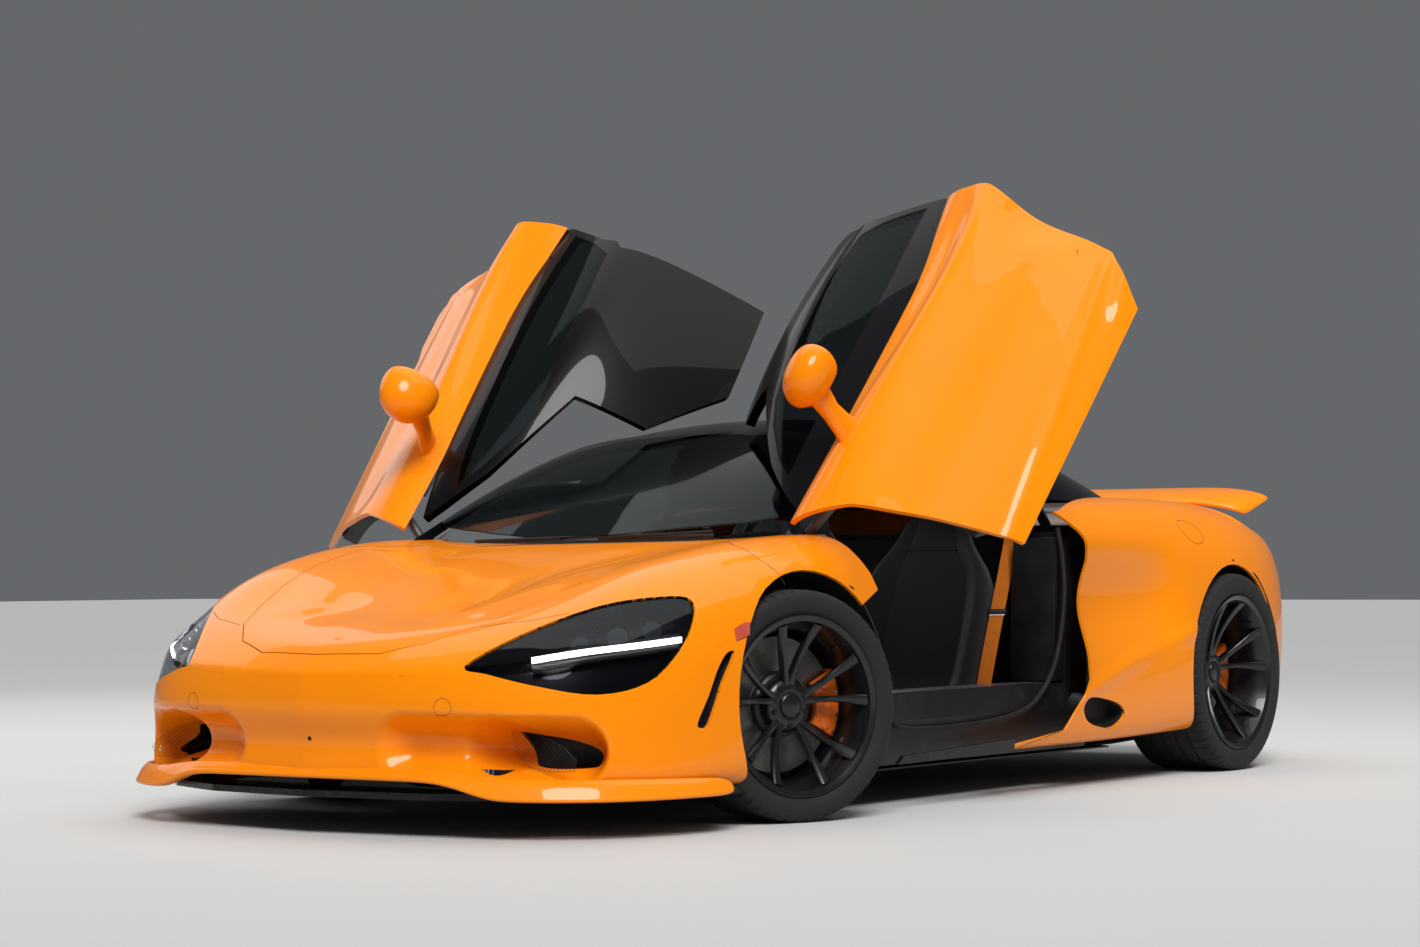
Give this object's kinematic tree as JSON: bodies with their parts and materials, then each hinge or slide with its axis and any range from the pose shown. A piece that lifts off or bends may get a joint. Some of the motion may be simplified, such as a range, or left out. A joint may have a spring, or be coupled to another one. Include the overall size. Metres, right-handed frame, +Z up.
{
  "type": "supercar",
  "caption": "Low mid-engined two-seat supercar with dihedral doors standing open, hinged bonnet, air-brake wing and steered front wheels.",
  "frame": {"origin": "on the ground, under the middle of the length and width", "axes": "-Y the way the car faces, +X its left side, +Z up"},
  "size_m": [2.7626, 4.568, 1.8946],
  "materials": {
    "orange_paint": "gloss",
    "gloss_black": "gloss",
    "satin_black": "satin",
    "glass": "clear",
    "lamp": "clear",
    "red_lamp": "gloss",
    "tyre": "matte",
    "rim": "satin black",
    "disc": "machined",
    "caliper": "gloss",
    "alloy": "cast",
    "suede": "matte",
    "leather": "matte",
    "belt": "woven",
    "steel": "brushed",
    "iron": "matte"
  },
  "bodies": {
    "body": {"front_clamshell": "orange_paint", "headlamps": "lamp", "roof_frame": "gloss_black", "windscreen": "glass", "rear_screen": "glass", "rear_clamshell": "orange_paint", "engine_cover": "satin_black", "cabin_tub": "satin_black", "undertray": "satin_black", "diffuser": "satin_black", "front_splitter": "orange_paint", "luggage_well": "satin_black", "engine": "iron", "exhaust": "steel", "tail_panel": "satin_black", "tail_lamps": "red_lamp", "side_skirts": "satin_black", "wheel_liners": "satin_black", "suspension_front": "alloy", "suspension_rear": "alloy", "calipers_rear": "caliper", "seat_left": "suede", "seat_right": "suede", "dashboard": "leather", "centre_console": "satin_black", "seat_belts": "belt"},
    "bonnet": {"bonnet": "orange_paint"},
    "rear_wing": {"rear_wing": "orange_paint"},
    "steering_wheel": {"steering_wheel": "suede"},
    "door_left": {"door_skin_left": "orange_paint", "door_frame_left": "gloss_black", "door_glass_left": "glass", "door_mirror_left": "orange_paint"},
    "knuckle_left": {"caliper_front_left": "caliper", "upright_front_left": "alloy"},
    "wheel_front_left": {"rim_front_left": "rim", "tyre_front_left": "tyre", "disc_front_left": "disc"},
    "wheel_rear_left": {"rim_rear_left": "rim", "tyre_rear_left": "tyre", "disc_rear_left": "disc"},
    "door_right": {"door_skin_right": "orange_paint", "door_frame_right": "gloss_black", "door_glass_right": "glass", "door_mirror_right": "orange_paint"},
    "knuckle_right": {"caliper_front_right": "caliper", "upright_front_right": "alloy"},
    "wheel_front_right": {"rim_front_right": "rim", "tyre_front_right": "tyre", "disc_front_right": "disc"},
    "wheel_rear_right": {"rim_rear_right": "rim", "tyre_rear_right": "tyre", "disc_rear_right": "disc"}
  },
  "joints": [
    {"name": "door_left_hinge", "type": "hinge", "parent": "body", "child": "door_left", "pos_m": [0.6797, -0.9, 0.7549], "axis": [-0.6144, 0.6887, 0.3849], "range_deg": [0, 68.6]},
    {"name": "door_right_hinge", "type": "hinge", "parent": "body", "child": "door_right", "pos_m": [-0.6797, -0.9, 0.7549], "axis": [-0.6144, -0.6887, -0.3849], "range_deg": [0, 68.6]},
    {"name": "steer_left", "type": "hinge", "parent": "body", "child": "knuckle_left", "pos_m": [0.762, -1.1895, 0.322], "axis": [0, 0, 1], "range_deg": [-12, 52]},
    {"name": "steer_right", "type": "hinge", "parent": "body", "child": "knuckle_right", "pos_m": [-0.762, -1.1895, 0.322], "axis": [0, 0, 1], "range_deg": [-12, 52]},
    {"name": "wheel_front_left_spin", "type": "hinge", "parent": "knuckle_left", "child": "wheel_front_left", "pos_m": [0.8353, -1.21618, 0.322], "axis": [0.9397, -0.342, 0], "continuous": true},
    {"name": "wheel_rear_left_spin", "type": "hinge", "parent": "body", "child": "wheel_rear_left", "pos_m": [0.8145, 1.4805, 0.34], "axis": [1, 0, 0], "continuous": true},
    {"name": "wheel_front_right_spin", "type": "hinge", "parent": "knuckle_right", "child": "wheel_front_right", "pos_m": [-0.8353, -1.16282, 0.322], "axis": [0.9397, -0.342, 0], "continuous": true},
    {"name": "wheel_rear_right_spin", "type": "hinge", "parent": "body", "child": "wheel_rear_right", "pos_m": [-0.8145, 1.4805, 0.34], "axis": [1, 0, 0], "continuous": true},
    {"name": "bonnet_hinge", "type": "hinge", "parent": "body", "child": "bonnet", "pos_m": [0, -0.872, 0.752], "axis": [-1, 0, 0], "range_deg": [0, 55]},
    {"name": "wing_hinge", "type": "hinge", "parent": "body", "child": "rear_wing", "pos_m": [0, 1.968, 0.941], "axis": [1, 0, 0], "range_deg": [0, 40]},
    {"name": "steering_wheel_turn", "type": "hinge", "parent": "body", "child": "steering_wheel", "pos_m": [0.345, -0.4, 0.72], "axis": [0, 0.9292, 0.3697], "range_deg": [-160, 680]}
  ],
  "couplings": [
    {"joint": "steer_right", "follows": "steer_left", "ratio": 1},
    {"joint": "steering_wheel_turn", "follows": "steer_left", "ratio": 13}
  ]
}
